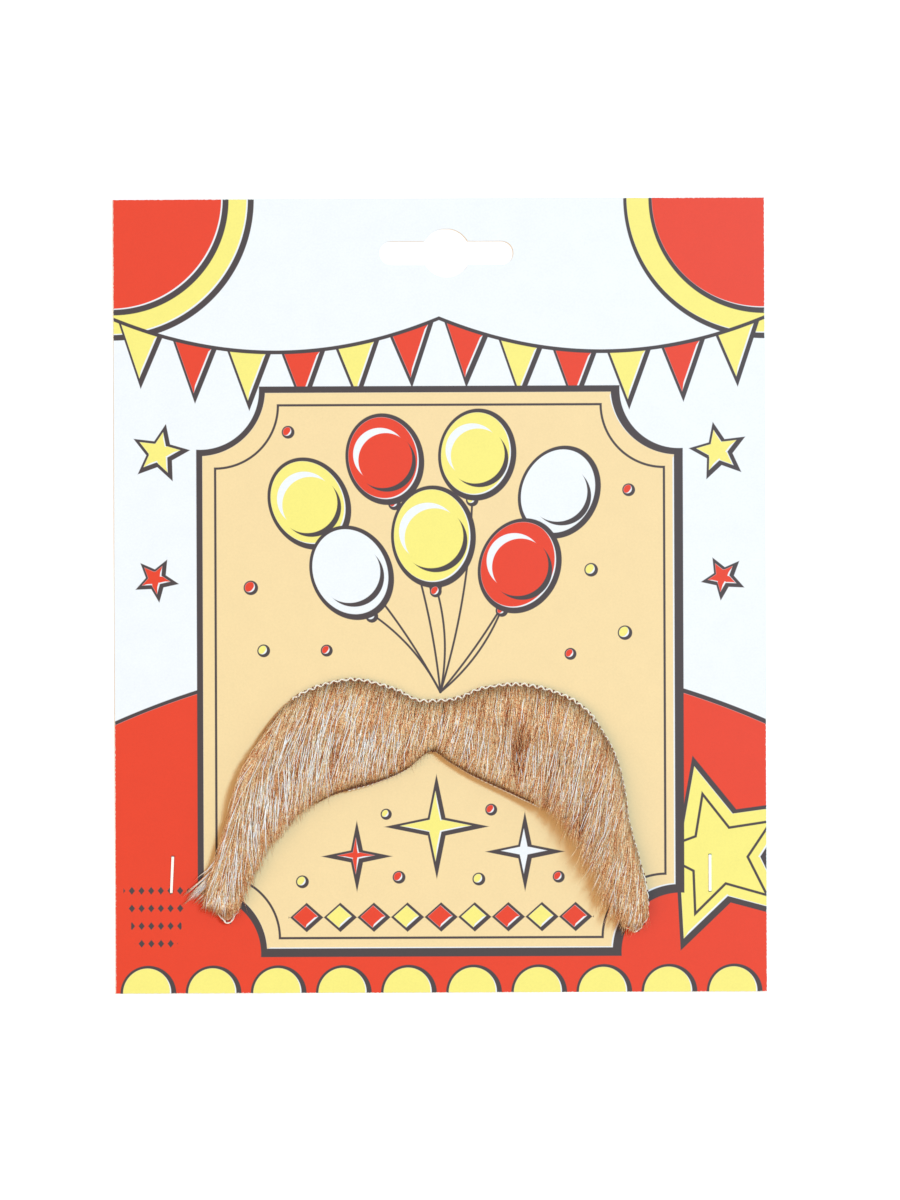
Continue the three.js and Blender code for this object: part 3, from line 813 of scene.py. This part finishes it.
def lying_strands(count, pale):
    """Paths, radii and tints of strands that are rooted in the net and lie along their sections."""
    rows = spread_rows(count)
    if pale:
        rows = rows[random.random(count) < by_row(WHITE_SHARE, rows)]
        count = len(rows)
    at_edge = random.random(count) < EDGE_SHARE
    start = np.where(at_edge, random.uniform(*EDGE_START, count), random.uniform(*BROWN_START, count))
    if pale:
        start = random.uniform(*WHITE_START, count)
    edge_lean = by_row(EDGE_LEAN, rows) * np.clip(1 - start / 0.35, 0, 1)
    root, free = surface(rows, 0.0), surface(rows, 1.0)
    section = (free - root)[:, :2]
    length_of_section = np.linalg.norm(section, axis=1)
    ahead = section / length_of_section[:, None]
    side = np.stack([-ahead[:, 1], ahead[:, 0]], -1)

    # Locks: strands draw together towards their tips
    band = np.floor(start * 4 + random.uniform(-0.4, 0.4, count)).astype(int)
    place = across_at(rows)
    lock = np.floor(place / LOCK_WIDTH + LOCK_SHIFT * band).astype(int)
    lock_seed = (lock * 7 + band * 131) % LOCK_SEEDS
    lock_random = np.random.default_rng(5).uniform(-1, 1, (LOCK_SEEDS, 4))[lock_seed]
    to_centre = (lock - LOCK_SHIFT * band + 0.5) * LOCK_WIDTH - place + 0.3 * lock_random[:, 0]
    pull = np.zeros(count) if pale else random.uniform(0.0, 0.35, count)

    # Lengths: each strand ends at the ragged free edge, if it reaches so far
    length = random.uniform(*(WHITE_LENGTH if pale else BROWN_LENGTH), count)
    ragged = by_row(RAGGED, rows)
    limit = 1.0 + ragged * (0.9 * lock_random[:, 1] + random.normal(0, 0.75, count))
    limit -= TIP_TRIM * np.clip(np.maximum(TIP_ROWS - rows, rows - (LAST_ROW - TIP_ROWS)), 0, 1)
    end = np.minimum(start + length / length_of_section, limit)
    length = np.maximum((end - start) * length_of_section, SHORTEST)
    t = np.linspace(0, 1, STATIONS)[None, :]
    along = start[:, None] + (length / length_of_section)[:, None] * t
    angle = by_row(LEAN, rows) + edge_lean + random.normal(0, 6.0, count) + 1.5 * lock_random[:, 2]
    angle = np.radians(angle)
    waves = random.uniform(0.5, 2.0, count) * length / 12
    sway = random.normal(0, 0.14, count)
    phase = random.uniform(0, 2 * math.pi, count)
    aside = -(length * np.tan(angle))[:, None] * t**1.3
    aside += (pull * to_centre)[:, None] * t**1.2
    waving = np.sin(2 * math.pi * waves[:, None] * t + phase[:, None]) - np.sin(phase)[:, None]
    aside += sway[:, None] * waving

    # Heights: layer is the strand's place in the pile, from 0 at the net to 1 at the top
    layer = random.uniform(0.97, 1.08, count) if pale else random.beta(2.4, 1.0, count)
    rise = np.minimum(1, (length[:, None] * t) / 2.2)
    droop = 1 - 0.3 * np.clip((t - 0.7) / 0.3, 0, 1) ** 2
    profile = np.interp(along, PILE_PROFILE[:, 0], PILE_PROFILE[:, 1])
    ripple = 1 + 0.1 * np.sin(along * 14 + lock_random[:, 3:4] * 6)
    pile = pile_at(rows[:, None] + 0 * t, along)
    height = pile * profile * layer[:, None] * rise * droop * ripple
    points = surface(rows[:, None] + 0 * t, along, NET_THICKNESS + height)
    points[..., :2] += side[:, None, :] * aside[..., None]

    # The left wing's strands don't cross its outer edge by more than their overhang
    overhang = np.minimum(random.exponential(MEAN_OVERHANG, count), MOST_OVERHANG)
    leftmost = np.interp(points[..., 1], OUTER_EDGE[:, 1], OUTER_EDGE[:, 0]) - overhang[:, None]
    leftmost -= random.uniform(0, FAN_SPREAD, count)[:, None] * np.maximum(0, FAN_FROM - points[..., 1])
    held_in = (rows < OUTER_ROWS)[:, None]
    points[..., 0] = np.where(held_in, np.maximum(points[..., 0], leftmost), points[..., 0])
    points[..., 2] = np.maximum(points[..., 2], CARD_FACE + CARD_CLEARANCE)

    radius = random.uniform(*(WHITE_RADIUS if pale else BROWN_RADIUS), count)
    taper = np.interp(t, [0, 0.2, 0.7, 1], [0.8, 1, 0.95, 0.3])
    radii = radius[:, None] * taper
    if pale:
        tints = random.uniform(*WHITE_TINT, count)[:, None] + 0 * t
    else:
        uneven = random.normal(0, BROWN_TINT_SPREAD, count)
        # Strands lower in the pile get a darker tint: painted shade in the gaps between the strands.
        tints = BROWN_TINT + uneven + 0.03 * lock_random[:, 0] + 0.12 * (layer - 0.7)
        tints = tints[:, None] - CREASE_SHADE * crease_at(rows[:, None], along)
    return rows, points, radii, tints


# Strands that spray off the left tip in thin locks. Rows: where the first and the last lock leave the
# moustache and where they end.
SPRAY_FROM = np.array([(-49.6, -59.0), (-48.8, -67.0)])
SPRAY_TO = np.array([(-62.6, -72.4), (-53.4, -76.0)])
SPRAY_LOCKS = 13
SPRAY_STRANDS = 24  # in one lock

# Single hairs that stand off. Columns: start x and y, end x and y, how far they bow, tint.
STRAYS = np.array([
    (-51.4, -59.5, -56.9, -66.4, 0.5, 1.2),
    (-51.6, -59.9, -56.7, -66.6, 0.4, 1.1),
    (-50.8, -55.5, -54.6, -64.0, -0.5, 0.7),
    (-51.6, -62.5, -58.6, -67.4, -0.4, 1.0),
    (-49.2, -50.0, -51.7, -57.8, -0.4, 0.6),
    (-48.4, -44.0, -49.9, -50.5, 0.4, 1.0),
])


def loose_strands(start, end, bend, high, low, tints, thickness):
    """Strands along curves from start past bend to end, which sink from one height to another."""
    t = np.linspace(0, 1, STATIONS)[None, :, None]
    flat = (1 - t) ** 2 * start[:, None] + 2 * t * (1 - t) * bend[:, None] + t**2 * end[:, None]
    height = high[:, None] + (low - high)[:, None] * t[..., 0] ** 1.2
    points = np.concatenate([flat, height[..., None]], -1)
    shape = np.interp(np.linspace(0, 1, STATIONS), [0, 0.3, 0.7, 1], [0.7, 1, 0.95, 0.3])
    return points, thickness[:, None] * shape[None, :], np.repeat(tints[:, None], STATIONS, axis=1)


def spray_strands():
    count = SPRAY_LOCKS * SPRAY_STRANDS
    lock = np.repeat(np.arange(SPRAY_LOCKS), SPRAY_STRANDS)
    share = (lock + 0.5 + random.uniform(-0.35, 0.35, SPRAY_LOCKS)[lock]) / SPRAY_LOCKS
    reach = random.uniform(0.93, 1.06, SPRAY_LOCKS)[lock] * random.uniform(0.88, 1.0, count)
    start = SPRAY_FROM[0] + (SPRAY_FROM[1] - SPRAY_FROM[0]) * share[:, None]
    end = SPRAY_TO[0] + (SPRAY_TO[1] - SPRAY_TO[0]) * share[:, None]
    end = start + (end - start) * reach[:, None] + random.normal(0, 0.16, (count, 2))
    bend = np.stack([start[:, 0] * 0.6 + end[:, 0] * 0.4, start[:, 1] * 0.45 + end[:, 1] * 0.55], -1)
    bend += random.normal(0, 0.16, (count, 2))
    start = start + random.normal(0, 0.5, (count, 2))
    high = random.uniform(2.8, 4.8, count)
    low = random.uniform(1.0, 3.0, SPRAY_LOCKS)[lock] + random.uniform(0, 0.5, count)
    white = random.random(count) < 0.55
    tints = np.where(white, random.uniform(1.0, 1.25, count), random.normal(0.5, 0.2, count))
    return loose_strands(start, end, bend, high, low, tints, random.uniform(0.05, 0.085, count))


def stray_strands():
    start, end = STRAYS[:, :2], STRAYS[:, 2:4]
    run = unit(end - start)
    bend = (start + end) / 2 + np.stack([-run[:, 1], run[:, 0]], -1) * STRAYS[:, 4:5]
    count = len(STRAYS)
    high, low = np.full(count, 4.4), np.full(count, 3.0)
    return loose_strands(start, end, bend, high, low, STRAYS[:, 5], np.full(count, 0.11))


def build_hair():
    brown = lying_strands(STRANDS, False)
    white = lying_strands(WHITE_STRANDS, True)
    rows, points, radii, tints = (np.concatenate(pair) for pair in zip(brown, white))
    material = hair_material()
    for name, first, last in zip(PIECE_NAMES, PIECE_ROWS, PIECE_ROWS[1:]):
        chosen = (rows >= first) & (rows <= last)
        piece_points, piece_radii, piece_tints = points[chosen], radii[chosen], tints[chosen]
        if first == 0:
            loose = zip(spray_strands(), stray_strands())
            sprayed = [np.concatenate(pair) for pair in loose]
            piece_points = np.concatenate([piece_points, sprayed[0]])
            piece_radii = np.concatenate([piece_radii, sprayed[1]])
            piece_tints = np.concatenate([piece_tints, sprayed[2]])
        piece = tube_mesh(name, piece_points, piece_radii, 3, piece_tints, flatness=0.6)
        dress(piece, material)
        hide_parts("hair")


# Net

WEAVE_PITCH = 1.3
WEAVE_DEPTH = 0.07


def net_material():
    material, tree, shader = new_material("netting", Roughness=0.85, Specular_IOR_Level=0.2)
    place = object_place(tree)
    wave = tree.nodes.new("ShaderNodeTexVoronoi")
    wave.inputs["Scale"].default_value = 1 / 0.55
    tree.links.new(place, wave.inputs["Vector"])
    cell = Field(tree, wave.outputs["Distance"])
    colour = mix_colour(tree, cell.math("MULTIPLY", 1.3, clamp=True), srgb(226, 184, 146), srgb(182, 130, 94))
    tree.links.new(colour, shader.inputs["Base Color"])
    bump(tree, shader, -cell, 0.15, 0.6)
    return material


def build_net():
    row_count = 230
    along_count = 58
    rows = np.linspace(0, LAST_ROW, row_count)[:, None]
    share = np.linspace(0, 1, along_count)[None, :]
    along = share * coverage(rows)
    rows = rows + 0 * along
    flat = surface(rows, along)
    turns = 2 * math.pi * flat[..., :2] / WEAVE_PITCH
    weave = np.sin(turns[..., 0]) * np.sin(turns[..., 1])
    top = surface(rows, along, NET_THICKNESS - WEAVE_DEPTH + WEAVE_DEPTH * weave)
    bottom = surface(rows, along, WEAVE_DEPTH + WEAVE_DEPTH * weave)
    vertices = np.concatenate([top.reshape(-1, 3), bottom.reshape(-1, 3)])
    index = np.arange(row_count * along_count).reshape(row_count, along_count)
    under = index + row_count * along_count

    def quads(a, b, c, d):
        return np.stack([a, b, c, d], -1).reshape(-1, 4)

    faces = [
        quads(index[:-1, :-1], index[:-1, 1:], index[1:, 1:], index[1:, :-1]),
        quads(under[:-1, :-1], under[1:, :-1], under[1:, 1:], under[:-1, 1:]),
        quads(index[:-1, 0], index[1:, 0], under[1:, 0], under[:-1, 0]),
        quads(index[1:, -1], index[:-1, -1], under[:-1, -1], under[1:, -1]),
        quads(index[0, 1:], index[0, :-1], under[0, :-1], under[0, 1:]),
        quads(index[-1, :-1], index[-1, 1:], under[-1, 1:], under[-1, :-1]),
    ]
    net = smooth_mesh("net_sheet", vertices, [np.concatenate(faces)])
    dress(net, net_material())
    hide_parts("net_backing")


# Edge thread

THREAD_PITCH = 2.04
THREAD_SWING = 0.36
THREAD_RADIUS = 0.16
THREAD_STEPS = 12  # stations in one wave

# How much of the thread is left out of the net and the hair. Columns: row, share of its radius.
THREAD_SHOWS = np.array([
    (0, 1.0), (1.2, 1.0), (1.8, 0.5), (4.7, 0.5), (5.4, 1.0),
    (15, 1.0), (16, 0.6), (20.4, 0.6), (21, 1.0), (22, 1.0),
])

# How far the thread is tucked in and under the hair. Columns: row, millimetres.
THREAD_TUCK = np.array([
    (0, 0), (1.2, 0), (1.8, 0.5), (4.9, 0.5), (5.4, 0), (15.2, 0), (16, 0.15), (20.4, 0.15), (21, 0), (22, 0)
])


# How much of its swing the thread keeps. Columns: row, share.
THREAD_WAVES = np.array([(0, 0.25), (1.5, 0.25), (2.5, 1), (20, 1), (20.8, 0.4), (22, 0.4)])

# A knot's radii from end to end, and half its length
KNOT_RADII = np.array([0.08, 0.2, 0.24, 0.2, 0.05])
KNOT_REACH = 0.26


def thread_material(name, light, dark):
    material, tree, shader = new_material(name, Roughness=0.7, Specular_IOR_Level=0.25)
    place = object_place(tree)
    twist = noise(tree, place, 0.22, 2.0)
    tree.links.new(mix_colour(tree, twist, dark, light), shader.inputs["Base Color"])
    bump(tree, shader, twist, 0.05, 0.6)
    return material


def edge_line():
    """The net's edge from under the left tip, round its end, along the roots and round the right tip.
    Each point has its row as a fourth number."""
    rows = np.concatenate([
        np.linspace(2.2, 0, 40),
        np.zeros(20),
        np.linspace(0, LAST_ROW, 500),
        np.full(20, LAST_ROW),
        np.linspace(LAST_ROW, 20, 40),
    ])
    below = np.full(40, 1.035)
    along = np.concatenate([below, np.linspace(1, 0, 20), np.zeros(500), np.linspace(0, 1, 20), below])
    return np.column_stack([surface(rows, along, NET_THICKNESS), rows])


def evenly(line, step):
    """Points a step apart along a line, with the way across it and the row there."""
    gaps = np.linalg.norm(np.diff(line[:, :3], axis=0), axis=1)
    distance = np.concatenate([[0], np.cumsum(gaps)])
    places = np.arange(0, distance[-1], step)
    points = np.stack([np.interp(places, distance, line[:, axis]) for axis in range(3)], -1)
    for _ in range(3):
        points[1:-1] = (points[:-2] + 2 * points[1:-1] + points[2:]) / 4
    ahead = unit(np.gradient(points, axis=0))
    across = unit(np.cross(ahead, (0, 0, 1)))
    return places, points, across, np.interp(places, distance, line[:, 3])


def build_edge():
    pale = thread_material("pale_thread", srgb(250, 246, 236), srgb(226, 214, 196))
    brown = thread_material("brown_thread", srgb(142, 72, 48), srgb(88, 38, 24))
    places, points, across, rows = evenly(edge_line(), THREAD_PITCH / THREAD_STEPS)
    wave = 2 * math.pi * places / THREAD_PITCH
    tuck = by_row(THREAD_TUCK, rows)[:, None]
    points = points + across * tuck - np.array((0, 0, 0.6)) * tuck
    jolts = np.arange(0, places[-1] + 2, 1.3)
    uneven = np.interp(places, jolts, random.uniform(0.55, 1.25, len(jolts)))
    swings = THREAD_SWING * uneven * by_row(THREAD_WAVES, rows) * np.sin(wave)
    main = points + across * (swings + 0.05)[:, None]
    main[:, 2] += 0.12 + 0.08 * np.cos(2 * wave)
    outer = points + across * (0.2 - swings)[:, None]
    outer[:, 2] -= 0.05 + 0.08 * np.cos(2 * wave)
    paths = np.stack([main, outer])
    shows = by_row(THREAD_SHOWS, rows) * (0.85 + 0.2 * uneven)
    radii = THREAD_RADIUS * np.stack([shows, 0.7 * shows])
    dress(tube_mesh("edge_thread", paths, radii, 6), pale)
    crests = np.arange(THREAD_STEPS // 4, len(places), THREAD_STEPS // 2)
    swing = np.sin(wave[crests])
    middle = points[crests] + across[crests] * (0.1 - 0.26 * swing)[:, None]
    ahead = unit(np.gradient(points, axis=0))[crests]
    t = np.linspace(-1, 1, len(KNOT_RADII))[None, :, None]
    knots = middle[:, None, :] + ahead[:, None, :] * KNOT_REACH * t
    knots[..., 2] += 0.12
    knot_sizes = shows[crests] ** 2 * (0.86 - 0.14 * swing)
    dress(tube_mesh("edge_knots", knots, KNOT_RADII * knot_sizes[:, None], 6), brown)


def build_hem():
    """The trimmed lower edge in the middle, as a dark and a pale cord with beads on them."""
    dark = thread_material("dark_hem", srgb(120, 74, 50), srgb(72, 40, 26))
    light = thread_material("pale_hem", srgb(246, 236, 220), srgb(214, 190, 164))

    # Columns: name, material, first and last row, radius, share of the section past the free edge,
    # height over the net, share of the radius that the beads add
    for name, material, first, last, radius, outset, raise_by, beads in (
        ("hem_dark", dark, 6.6, 13.6, 0.26, 0.008, 0.4, 0.25),
        ("hem_pale", light, 7.4, 13.8, 0.14, 0.024, -0.1, 0.45),
    ):
        rows = np.linspace(first, last, 420)
        line = surface(rows, 1.0 + outset, NET_THICKNESS + raise_by)
        radii = radius * (1 + beads * np.sin(np.linspace(0, 420, 420)))
        radii *= 1 + 0.5 * np.exp(-((rows - 7.8) / 0.5) ** 2) + 0.9 * np.exp(-((rows - 10.1) / 0.06) ** 2)
        dress(tube_mesh(name, line[None], radii[None], 6), material)


# Staples

def steel_material():
    material, tree, shader = new_material("staple_steel", Metallic=1.0, Roughness=0.28)
    place = object_place(tree)
    streak = noise(tree, place, 0.3, 3.0)
    colour = mix_colour(tree, streak, srgb(186, 206, 222), srgb(226, 242, 252))
    tree.links.new(colour, shader.inputs["Base Color"])
    return material


# Stage, light and camera

def floor_material():
    material, tree, shader = new_material("floor", Roughness=0.9, Specular_IOR_Level=0.1)
    place = object_place(tree)
    grain = noise(tree, place, 30.0)
    colour = mix_colour(tree, grain, srgb(250, 250, 250), srgb(253, 253, 253))
    tree.links.new(colour, shader.inputs["Base Color"])
    return material


def build_stage():
    bpy.ops.mesh.primitive_grid_add(x_subdivisions=2, y_subdivisions=2, size=60.0)
    floor = bpy.context.object
    floor.name = "floor"
    floor.data.materials.append(floor_material())


def far_light(name, azimuth, elevation, spread, colour):
    """A light from one direction, with the brightness that it gives to a level face. The spread is how
    wide it looks from the card, in degrees."""
    light = bpy.data.lights.new(name, "SUN")
    strongest = max(colour)
    light.color = [channel / strongest for channel in colour]
    light.energy = math.pi * strongest / math.sin(math.radians(elevation))
    light.angle = math.radians(spread)
    lamp = bpy.data.objects.new(name, light)
    bpy.context.scene.collection.objects.link(lamp)
    lamp.rotation_euler = (0, math.radians(90 - elevation), math.radians(azimuth))


def build_light():
    world = bpy.data.worlds.new("studio")
    bpy.context.scene.world = world
    world.use_nodes = True
    background = world.node_tree.nodes["Background"]
    background.inputs["Color"].default_value = (1.0, 0.83, 0.65, 1.0)
    background.inputs["Strength"].default_value = 0.45
    far_light("key", 28, 68, 9, (0.38, 0.63, 0.82))
    far_light("fill", 215, 70, 70, (0.4, 0.25, 0.14))
    bpy.context.scene.view_settings.view_transform = "Standard"
    bpy.context.scene.view_settings.look = "None"


# The photograph: the card's middle is at pixel (440, 595.5) and a millimetre is 4.2 pixels
PHOTO_WIDTH = 900
PHOTO_HEIGHT = 1200
PIXELS_PER_MM = 4.2
CARD_PIXEL = (440, 595.5)
CAMERA_HEIGHT = 1.2
CARD_TURN = 0.22  # degrees that the card is turned in the photograph


def build_camera():
    camera = bpy.data.cameras.new("camera")
    seen = PHOTO_HEIGHT / PIXELS_PER_MM * MM
    camera.sensor_width = 36.0
    camera.lens = camera.sensor_width * CAMERA_HEIGHT / seen
    view = bpy.data.objects.new("camera", camera)
    bpy.context.scene.collection.objects.link(view)
    view.location = (
        (PHOTO_WIDTH / 2 - CARD_PIXEL[0]) / PIXELS_PER_MM * MM,
        (CARD_PIXEL[1] - PHOTO_HEIGHT / 2) / PIXELS_PER_MM * MM,
        CAMERA_HEIGHT,
    )
    view.rotation_euler = (0, 0, math.radians(-CARD_TURN))
    bpy.context.scene.camera = view


build_camera()
build_stage()
build_light()
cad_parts["card"].data.materials.clear()
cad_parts["card"].data.materials.append(card_material())
steel = steel_material()
for side in ("staple_left", "staple_right"):
    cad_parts[side].data.materials.clear()
    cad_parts[side].data.materials.append(steel)
build_net()
build_edge()
build_hem()
build_hair()
